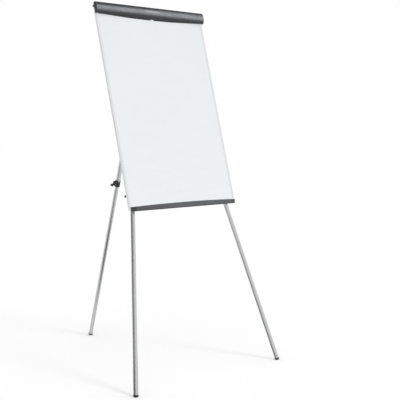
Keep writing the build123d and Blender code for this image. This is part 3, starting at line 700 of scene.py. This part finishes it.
# ---------------------------------------------------------------- repeated parts
@dataclass
class PartTrees:
    """The geometry trees of the parts that repeat.

    Attributes:
        trees: the trees by their keys.
        wall_share: how much of a screw head's height its straight wall takes; the crown takes the rest.
        crown_power: how broad the flat middle of the crown is.
        bite_share: how far the shank reaches into the head, as a share of the head's height.
        arm_share: length of a recess arm against the head's radius.
    """

    trees: dict[str, bpy.types.NodeTree] = field(default_factory=dict)
    wall_share: float = 0.55
    crown_power: float = 2.6
    bite_share: float = 0.2
    arm_share: float = 1.15

    def build(self) -> None:
        """Build every tree."""
        self.trees["screw"] = self._screw()
        self.trees["ridges"] = self._ridges()

    @staticmethod
    def _end(net: Wiring, given: bpy.types.Node, out: bpy.types.Node, instances: Any) -> None:
        """Close a tree with Realize Instances and Set Material."""
        real = net.put("GeometryNodeRealizeInstances", {0: instances})
        net.feed(out, "Geometry", net.put("GeometryNodeSetMaterial", {"Geometry": real,
                                                                      "Material": given.outputs["Material"]}))

    @classmethod
    def _screw(cls) -> bpy.types.NodeTree:
        """A pan-head screw with a cross recess on every point, looking along the point's aim."""
        net, given, out = new_group(
            "Pan screws", "GeometryNodeTree",
            [("Geometry", "NodeSocketGeometry", None), ("Head Radius", "NodeSocketFloat", 0.0036),
             ("Head Height", "NodeSocketFloat", 0.0022), ("Shank Radius", "NodeSocketFloat", 0.0017),
             ("Shank Length", "NodeSocketFloat", 0.008), ("Recess Width", "NodeSocketFloat", 0.001),
             ("Seed", "NodeSocketInt", 3), ("Material", "NodeSocketMaterial", None)],
            [("Geometry", "NodeSocketGeometry")])
        radius, height = given.outputs["Head Radius"], given.outputs["Head Height"]
        wall = net.maths("MULTIPLY", height, cls.wall_share)
        head = net.put("GeometryNodeMeshCylinder", {"Vertices": 32, "Side Segments": 1, "Fill Segments": 6,
                                                    "Radius": radius, "Depth": wall},
                       fill_type="TRIANGLE_FAN")
        head = net.put("GeometryNodeTransform", {"Geometry": head.outputs["Mesh"], "Translation": net.put(
            "ShaderNodeCombineXYZ", {2: net.maths("MULTIPLY", wall, 0.5)})})
        place = net.put("GeometryNodeInputPosition")
        flat = net.vector("MULTIPLY", place, (1.0, 1.0, 0.0))
        share = net.maths("DIVIDE", net.vector("LENGTH", flat).outputs["Value"], radius, clamp=True)
        crown = net.maths("SUBTRACT", 1.0, net.maths("POWER", share, cls.crown_power))
        top = net.maths("GREATER_THAN", net.put("ShaderNodeSeparateXYZ", {0: place}).outputs["Z"],
                        net.maths("MULTIPLY", wall, 0.9))
        crown_height = net.maths("MULTIPLY", height, 1.0 - cls.wall_share)
        rise = net.maths("MULTIPLY", net.maths("MULTIPLY", crown, top), crown_height)
        head = net.put("GeometryNodeSetPosition", {"Geometry": head,
                                                   "Offset": net.put("ShaderNodeCombineXYZ", {2: rise})})
        length = given.outputs["Shank Length"]
        bite = net.maths("MULTIPLY", height, cls.bite_share)
        shank = net.put("GeometryNodeMeshCylinder", {"Vertices": 20, "Radius": given.outputs["Shank Radius"],
                                                     "Depth": net.maths("ADD", length, bite)})
        drop = net.maths("MULTIPLY", net.maths("SUBTRACT", bite, length), 0.5)
        shank = net.put("GeometryNodeTransform", {"Geometry": shank.outputs["Mesh"],
                                                  "Translation": net.put("ShaderNodeCombineXYZ", {2: drop})})
        whole = net.put("GeometryNodeMeshBoolean", operation="UNION", solver="EXACT")
        for part in (head, shank):
            net.feed(whole, "Mesh 2", part)
        recess = net.put("GeometryNodeMeshBoolean", {"Mesh 1": whole.outputs["Mesh"]}, operation="DIFFERENCE",
                         solver="EXACT")
        arm_width, arm_length = given.outputs["Recess Width"], net.maths("MULTIPLY", radius, cls.arm_share)
        for wide, deep in ((arm_length, arm_width), (arm_width, arm_length)):
            size = net.put("ShaderNodeCombineXYZ", {0: wide, 1: deep, 2: height})
            box = net.put("GeometryNodeMeshCube", {"Size": size})
            lift = net.put("ShaderNodeCombineXYZ", {2: height})
            net.feed(recess, "Mesh 2", net.put("GeometryNodeTransform", {"Geometry": box.outputs["Mesh"],
                                                                         "Translation": lift}))
        aim = net.put("GeometryNodeInputNamedAttribute", {"Name": "aim"}, data_type="FLOAT_VECTOR")
        turned = net.put("FunctionNodeAlignRotationToVector", {"Vector": aim.outputs[0]}, axis="Z")
        spin = net.put("FunctionNodeRandomValue", {"Seed": given.outputs["Seed"]}, data_type="FLOAT")
        spin.inputs[3].default_value = math.pi
        spin_by = net.put("FunctionNodeAxisAngleToRotation", {"Axis": (0.0, 0.0, 1.0),
                                                              "Angle": spin.outputs[1]})
        turned = net.put("FunctionNodeRotateRotation", {"Rotation": turned, "Rotate By": spin_by},
                         rotation_space="LOCAL")
        placed = net.put("GeometryNodeInstanceOnPoints", {"Points": given.outputs["Geometry"],
                                                          "Instance": recess.outputs["Mesh"],
                                                          "Rotation": turned})
        cls._end(net, given, out, placed)
        return net.tree

    @classmethod
    def _ridges(cls) -> bpy.types.NodeTree:
        """A row of round-ended ridges, joined to the mesh that comes in."""
        net, given, out = new_group(
            "Ridges", "GeometryNodeTree",
            [("Geometry", "NodeSocketGeometry", None), ("Start", "NodeSocketVector", None),
             ("Step", "NodeSocketVector", None), ("Count", "NodeSocketInt", 5),
             ("Ridge", "NodeSocketVector", None), ("Radius", "NodeSocketFloat", 0.0005),
             ("Sides", "NodeSocketInt", 8), ("Material", "NodeSocketMaterial", None)],
            [("Geometry", "NodeSocketGeometry")])
        row = net.put("GeometryNodeMeshLine", {"Count": given.outputs["Count"],
                                               "Start Location": given.outputs["Start"],
                                               "Offset": given.outputs["Step"]})
        length = net.vector("LENGTH", given.outputs["Ridge"]).outputs["Value"]
        bar = net.put("GeometryNodeMeshCylinder", {"Vertices": given.outputs["Sides"], "Side Segments": 1,
                                                   "Radius": given.outputs["Radius"], "Depth": length})
        turned = net.put("FunctionNodeAlignRotationToVector", {"Vector": given.outputs["Ridge"]}, axis="Z")
        placed = net.put("GeometryNodeInstanceOnPoints", {"Points": row, "Instance": bar.outputs["Mesh"],
                                                          "Rotation": turned})
        both = net.put("GeometryNodeJoinGeometry", {0: given.outputs["Geometry"]})
        net.feed(both, 0, placed)
        cls._end(net, given, out, both)
        return net.tree


@dataclass(frozen=True)
class ScrewSize:
    """What the frame doesn't tell about a pan-head screw.

    Attributes:
        head_height: from the seat to the top of the crown.
        shank_radius: outer radius of the thread.
        recess: width of the cross recess's arms.
    """

    head_height: float = 2.2 * MM
    shank_radius: float = 1.7 * MM
    recess: float = 0.9 * MM


@dataclass
class Workshop:
    """The finishes, the trees and the directions that every sub-assembly uses."""

    finishes: Finishes
    trees: PartTrees
    up: Vector
    out: Vector

    def screws(self, name: str, node: str, aims: list[Vector], size: ScrewSize, seed: int) -> None:
        """Replace a node of screws with finer ones in the same places.

        Args:
            name: the new piece's name.
            node: the CAD node.
            aims: the direction out of each head, in the order of the solids, or one for them all.
            size: sizes of the screws.
            seed: turns the recesses.
        """
        solids = solids_of(node)
        aims = aims * len(solids) if len(aims) == 1 else aims
        places, lengths, radii = [], [], []
        for points, aim in zip(solids, aims):
            direction = np.array(aim)
            height = points @ direction
            top = float(height.max())
            seat = top - size.head_height
            across = points - np.outer(height, direction)
            middle = (across.max(0) + across.min(0)) / 2
            places.append(Vector(middle) + aim * seat)
            lengths.append(seat - float(height.min()))
            radii.append(float(np.linalg.norm(across - middle, axis=1).max()))
        piece = finished_mesh(name, points_mesh(name, places, aims), self.trees.trees["screw"], {
            "Head Radius": sum(radii) / len(radii), "Head Height": size.head_height,
            "Shank Radius": size.shank_radius, "Shank Length": sum(lengths) / len(lengths),
            "Recess Width": size.recess, "Seed": seed, "Material": self.finishes.made["steel"]})
        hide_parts(node)
        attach(piece, "board")


# ---------------------------------------------------------------- sub-assemblies
@dataclass
class Board:
    """The framed writing board."""

    shop: Workshop

    def dress(self) -> None:
        """Give each part its finish."""
        give = self.shop.finishes.dress
        give("enamel", "writing_sheet")
        give("core", "board_core")
        give("backing", "back_sheet")
        give("frame_across", "frame_bottom", "frame_top")
        give("frame_up", "frame_left", "frame_right")
        give("nylon", "corner_keys")


@dataclass
class PadClamp:
    """The hinged clamp bar across the top.

    Attributes:
        shop: the finishes, trees and directions.
        tooth_step: distance from one tooth of the grip to the next.
        tooth_radius: radius of a tooth.
        tooth_length: length of a tooth across the grip.
        tooth_sides: flats round a tooth.
        teeth_left_out: how many teeth are missing at each end.
        pivot_screw: sizes of the pivot screws.
    """

    shop: Workshop
    tooth_step: float = 4.0 * MM
    tooth_radius: float = 0.55 * MM
    tooth_length: float = 4.4 * MM
    tooth_sides: int = 8
    teeth_left_out: int = 6
    pivot_screw: ScrewSize = ScrewSize(shank_radius=2.5 * MM, recess=1.1 * MM)

    def build(self) -> None:
        """Make the toothed rubber grip and the pivot screws."""
        self._grip()
        self.shop.screws("clamp_pivot_cross_screws", "clamp_pivot_screws", [-ACROSS, ACROSS],
                         self.pivot_screw, 5)

    def _grip(self) -> None:
        """A rubber strip on the cover's rib, with teeth across the face that holds the paper."""
        node = "clamp_grip"
        base = welded(node)
        mesh = bpy.data.meshes.new("clamp_grip_toothed")
        base.to_mesh(mesh)
        base.free()
        points = np.array([v.co for v in mesh.vertices])
        out, up = np.array(self.shop.out), np.array(self.shop.up)
        face = float((points @ out).min())
        middle = float((points @ up).mean())
        low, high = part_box(node)
        margin = self.teeth_left_out * self.tooth_step
        count = int((high.x - low.x - 2 * margin) / self.tooth_step)
        start = Vector((low.x + margin, 0.0, 0.0)) + self.shop.up * middle + self.shop.out * face
        piece = finished_mesh("clamp_grip_toothed", mesh, self.shop.trees.trees["ridges"], {
            "Start": start, "Step": Vector((self.tooth_step, 0.0, 0.0)), "Count": count,
            "Ridge": self.shop.up * self.tooth_length, "Radius": self.tooth_radius, "Sides": self.tooth_sides,
            "Material": self.shop.finishes.made["rubber"]})
        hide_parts(node)
        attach(piece, "pad_clamp")

    def dress(self) -> None:
        """Give each part its finish."""
        give = self.shop.finishes.dress
        give("slate", "clamp_cover")
        give("black", "clamp_cap_left", "clamp_cap_right")
        give("badge", "clamp_badge")


@dataclass
class PadHooks:
    """The hook rail and its two sliding hooks."""

    shop: Workshop
    screw: ScrewSize = ScrewSize()

    def build(self) -> None:
        """Make the rail's screws."""
        self.shop.screws("rail_cross_screws", "rail_screws", [self.shop.out], self.screw, 11)

    def dress(self) -> None:
        """Give each part its finish."""
        self.shop.finishes.dress("rail", "hook_rail")
        self.shop.finishes.dress("black", "pad_hook_left", "pad_hook_right")


@dataclass
class PenTray:
    """The bowed pen tray."""

    shop: Workshop
    screw: ScrewSize = ScrewSize()

    def build(self) -> None:
        """Make the tray's screws."""
        self.shop.screws("tray_cross_screws", "tray_screws", [self.shop.out], self.screw, 17)

    def dress(self) -> None:
        """Give each part its finish."""
        self.shop.finishes.dress("slate_tray_painted_light", "pen_tray")
        self.shop.finishes.dress("black", "tray_cap_left", "tray_cap_right")


@dataclass
class Head:
    """The plate, studs and rear hinge behind the board's top."""

    shop: Workshop
    screw: ScrewSize = ScrewSize()

    def build(self) -> None:
        """Make the plate's screws."""
        self.shop.screws("head_cross_screws", "head_screws", [-self.shop.out], self.screw, 23)

    def dress(self) -> None:
        """Give each part its finish."""
        give = self.shop.finishes.dress
        give("plate", "head_plate", "rear_hinge_bracket")
        give("steel", "pivot_studs", "pivot_washers", "pivot_dome_nuts", "rear_hinge_pin", "rear_pin_clip")
        give("nylon", "pivot_spacers")
        give("rubber", "rear_leg_stop")


@dataclass
class Saddles:
    """The moulded saddles that stop the front legs."""

    shop: Workshop
    screw: ScrewSize = ScrewSize()

    def build(self) -> None:
        """Make the saddles' screws."""
        self.shop.screws("saddle_cross_screws", "saddle_screws", [-self.shop.out], self.screw, 29)

    def dress(self) -> None:
        """Give each part its finish."""
        self.shop.finishes.dress("black", "leg_saddle_left", "leg_saddle_right")


@dataclass
class TelescopicLeg:
    """One leg: two tubes, the collar and its lever, and the rubber foot.

    Attributes:
        shop: the finishes, trees and directions.
        side: which leg it is.
        ridges: how many ridges the lever's thumb has.
        ridge_step: distance from one ridge to the next.
        ridge_radius: radius of a ridge.
        ridge_length: length of a ridge across the thumb.
        ridge_sides: flats round a ridge.
        ridges_from_tip: how far the first ridge stands back from the lever's tip.
        thumb_half: height of the thumb's face over the line from the pin to the tip.
        thumb_slope: rise of the thumb's face towards the tip.
    """

    shop: Workshop
    side: Side
    ridges: int = 4
    ridge_step: float = 1.8 * MM
    ridge_radius: float = 0.5 * MM
    ridge_length: float = 10.4 * MM
    ridge_sides: int = 12
    ridges_from_tip: float = 10.8 * MM
    thumb_half: float = 4.65 * MM
    thumb_slope: float = 0.155

    def build(self) -> None:
        """Make the thumb ridges of the clamp lever."""
        body = f"{self.side.value}_lever"
        hinge = joint(f"{body}_hinge")
        pin, axis = Vector(hinge["pos_m"]), Vector(hinge["axis"]).normalized()
        points = [Vector(v.co) - pin for v in frame["nodes"][body].data.vertices]
        flat = [p - axis * p.dot(axis) for p in points]
        tip = max(flat, key=lambda p: p.length)
        tail = tip.normalized()
        outward = axis.cross(tail)
        start = pin + tail * (tip.length - self.ridges_from_tip) + outward * self.thumb_half
        name = f"{self.side.value}_thumb_ridges"
        piece = finished_mesh(name, bpy.data.meshes.new(name), self.shop.trees.trees["ridges"], {
            "Start": start, "Step": (tail + outward * self.thumb_slope) * self.ridge_step,
            "Count": self.ridges, "Ridge": axis * self.ridge_length, "Radius": self.ridge_radius,
            "Sides": self.ridge_sides,
            "Material": self.shop.finishes.made["black"]})
        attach(piece, body)

    def dress(self) -> None:
        """Give each part its finish."""
        leg = self.side.value
        give = self.shop.finishes.dress
        give(f"tube_{leg}", f"{leg}_upper_tube", f"{leg}_lower_tube")
        give("black", f"{leg}_tube_plug", f"{leg}_collar", f"{leg}_lever")
        give("steel", f"{leg}_lever_pin")
        give("nylon", f"{leg}_glide_bush")
        give("rubber", f"{leg}_foot")


# ---------------------------------------------------------------- studio
@dataclass
class Studio:
    """The pale floor, the soft light and the camera.

    Attributes:
        floor_half, floor_tone, floor_glow: half the floor's width, its grey and its glow for the eye.
        lens, film_width, sight: the camera's focal length and film width in millimetres, and its reach.
        camera_at, camera_turn, camera_drop: where the camera stands and how it is turned, in degrees.
        sky: brightness of the light from all round.
        key_power, key_width, key_from: the main light's power, its width in degrees and its direction.
        dark_side, dark_edge, dark_tone: the reflected room's dark side, where its edge fades, and its grey.
        ceiling_edge: heights between which the reflected room turns into its dark ceiling.
        room_tone, backdrop: the reflected room's white, and the white that the eye sees.
        band_front, band_rear: depths between which the floor's painted dark reflection fades in and out.
        gleam_at, gleam_aim, gleam_size, gleam_power, gleam_colour: the softbox of the gleam.
        leg_parts: the pieces of each leg that throw the main light's shadow.
        no_shade: the pieces that don't darken the board beside them.
        gleam_on: the pieces that mirror the softbox.
    """

    floor_half: float = 40.0
    floor_tone: float = 0.92
    floor_glow: float = 0.11
    lens: float = 73.7
    film_width: float = 36.0
    sight: float = 200.0
    camera_at: tuple[float, float, float] = (-2.6815, -3.5650, 1.2585)
    camera_turn: float = -40.83
    camera_drop: float = 5.15
    sky: float = 0.82
    key_power: float = 0.68
    key_width: float = 14.0
    key_from: tuple[float, float, float] = (0.184, -0.686, 0.707)
    dark_side: tuple[float, float, float] = (-0.98, 0.19, 0.0)
    dark_edge: tuple[float, float] = (0.45, 0.95)
    dark_tone: float = 0.13
    ceiling_edge: tuple[float, float] = (0.30, 0.75)
    room_tone: float = 0.95
    backdrop: float = 0.995
    band_front: tuple[float, float] = (-0.7, -0.5)
    band_rear: tuple[float, float] = (0.4, 0.1)
    gleam_at: tuple[float, float, float] = (3.0, -3.25, 4.0)
    gleam_aim: tuple[float, float, float] = (0.0, 0.0, 1.85)
    gleam_size: tuple[float, float] = (3.0, 3.9)
    gleam_power: float = 340.0
    gleam_colour: tuple[float, float, float] = (0.94, 0.97, 1.0)
    leg_parts: tuple[str, ...] = ("upper_tube", "lower_tube", "foot")
    no_shade: tuple[str, ...] = ("pen_tray", "tray_cap_left", "tray_cap_right", "clamp_cover")
    gleam_on: tuple[str, ...] = ("clamp_cover", "clamp_cap_left", "clamp_cap_right", "clamp_badge",
                                 "pen_tray", "tray_cap_left", "tray_cap_right")

    def build(self) -> None:
        """Set everything up."""
        for node in self.no_shade:
            frame["nodes"][node].visible_diffuse = False
        self._floor()
        self._sky()
        legs = [f"{side.value}_{part}" for side in Side for part in self.leg_parts]
        self._key(self._group("key_shadows", legs))
        self._gloss(self._group("gleam_on", self.gleam_on))
        self._camera()

    @staticmethod
    def _group(name: str, nodes: Iterable[str]) -> bpy.types.Collection:
        """A collection of nodes that a lamp is linked to."""
        group = bpy.data.collections.new(name)
        for node in nodes:
            group.objects.link(frame["nodes"][node])
        return group

    def _flag(self, net: Wiring, toward: Any) -> bpy.types.Node:
        """A mask of the room's dark side, for a direction."""
        return net.spread(net.vector("DOT_PRODUCT", toward, self.dark_side).outputs["Value"], *self.dark_edge)

    def _floor(self) -> None:
        """A wide plain floor which, for reflections only, is painted dark in a band beside the right foot on
        the room's dark side: a painted dark reflection.
        """
        mesh = bpy.data.meshes.new("floor")
        half = self.floor_half
        corners = [(-half, -half, 0), (half, -half, 0), (half, half, 0), (-half, half, 0)]
        mesh.from_pydata(corners, [], [(0, 1, 2, 3)])
        floor = new_object("floor", mesh)
        material = bpy.data.materials.new("floor_white")
        material.use_nodes = True
        net = Wiring(material.node_tree)
        shader = material.node_tree.nodes["Principled BSDF"]
        paths = net.put("ShaderNodeLightPath")
        glow = net.maths("MULTIPLY", paths.outputs["Is Camera Ray"], self.floor_glow)
        place = net.put("ShaderNodeTexCoord").outputs["Object"]
        low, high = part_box("right_leg_foot")
        aside = net.vector("SUBTRACT", place, tuple((low + high) / 2 * Vector((1.0, 1.0, 0.0))))
        depth = net.put("ShaderNodeSeparateXYZ", {0: place}).outputs["Y"]
        band = net.maths("MULTIPLY", net.spread(depth, *self.band_rear), net.spread(depth, *self.band_front))
        # painted reflection: only reflections see this band of floor beside the right foot, and they see it
        # dark
        dark = net.maths("MULTIPLY", self._flag(net, net.vector("NORMALIZE", aside)), band)
        dark = net.maths("MULTIPLY", dark, paths.outputs["Is Glossy Ray"])
        colour = net.blend(dark, grey(self.floor_tone), grey(self.dark_tone))
        for socket, value in (("Base Color", colour), ("Roughness", 0.9), ("Specular IOR Level", 0.0),
                              ("Emission Color", grey(1.0)), ("Emission Strength", glow)):
            net.feed(shader, socket, value)
        mesh.materials.append(material)

    def _sky(self) -> None:
        """White for the eye, and for reflections a white room with one dark side."""
        world = bpy.data.worlds.new("studio")
        world.use_nodes = True
        bpy.context.scene.world = world
        net = Wiring(world.node_tree)
        net.tree.nodes.clear()
        toward = net.put("ShaderNodeTexCoord").outputs["Generated"]
        flag = self._flag(net, toward)
        ceiling = net.spread(net.put("ShaderNodeSeparateXYZ", {0: toward}).outputs["Z"], *self.ceiling_edge)
        room = net.blend(net.maths("MAXIMUM", flag, ceiling), grey(self.room_tone), grey(self.dark_tone))
        paths = net.put("ShaderNodeLightPath")
        light = net.blend(paths.outputs["Is Glossy Ray"], grey(self.sky), room)
        seen = net.blend(paths.outputs["Is Camera Ray"], light, grey(self.backdrop))
        net.put("ShaderNodeOutputWorld", {"Surface": net.put("ShaderNodeBackground", {"Color": seen})})

    def _key(self, blockers: bpy.types.Collection) -> None:
        """The main light: soft, from the front and a little to the right.

        Args:
            blockers: the pieces that throw its shadow.
        """
        light = bpy.data.lights.new("key", "SUN")
        light.energy = self.key_power
        light.angle = math.radians(self.key_width)
        lamp = new_object("key", light)
        lamp.rotation_euler = (-Vector(self.key_from)).to_track_quat("-Z", "Y").to_euler()
        lamp.light_linking.blocker_collection = blockers

    def _gloss(self, receivers: bpy.types.Collection) -> None:
        """A large softbox that only shows as the gleam along the clamp and the tray.

        Args:
            receivers: the pieces that mirror it.
        """
        light = bpy.data.lights.new("gleam", "AREA")
        light.shape = "RECTANGLE"
        light.size, light.size_y = self.gleam_size
        light.energy = self.gleam_power
        light.color = self.gleam_colour
        lamp = new_object("gleam", light)
        lamp.location = self.gleam_at
        toward = Vector(self.gleam_aim) - Vector(self.gleam_at)
        lamp.rotation_euler = toward.to_track_quat("-Z", "Y").to_euler()
        lamp.visible_camera = False
        lamp.visible_diffuse = False
        lamp.light_linking.receiver_collection = receivers

    def _camera(self) -> None:
        """The camera in front, to the left, at chest height."""
        data = bpy.data.cameras.new("camera")
        data.lens = self.lens
        data.sensor_width = self.film_width
        data.clip_end = self.sight
        camera = new_object("camera", data)
        camera.location = self.camera_at
        camera.rotation_euler = (math.radians(90.0 - self.camera_drop), 0.0, math.radians(self.camera_turn))
        bpy.context.scene.camera = camera


def main() -> None:
    """Build the easel's looks in order."""
    logging.basicConfig(level=logging.INFO, format="%(name)s: %(message)s")
    out = Vector(joint("left_leg_fold")["axis"]).normalized()
    up = out.cross(ACROSS)
    axes = {side: Vector(joint(f"{side.value}_extend")["axis"]).normalized() for side in Side}
    EFFECTS.build()
    finishes = Finishes(up, axes)
    finishes.build()
    trees = PartTrees()
    trees.build()
    shop = Workshop(finishes, trees, up, out)
    for assembly in (PadClamp(shop), PadHooks(shop), PenTray(shop), Head(shop), Saddles(shop)):
        assembly.build()
        assembly.dress()
    Board(shop).dress()
    for side in Side:
        leg = TelescopicLeg(shop, side)
        leg.build()
        leg.dress()
    Studio().build()
    bpy.context.scene.view_settings.view_transform = "Standard"


if __name__ == "__main__":
    main()
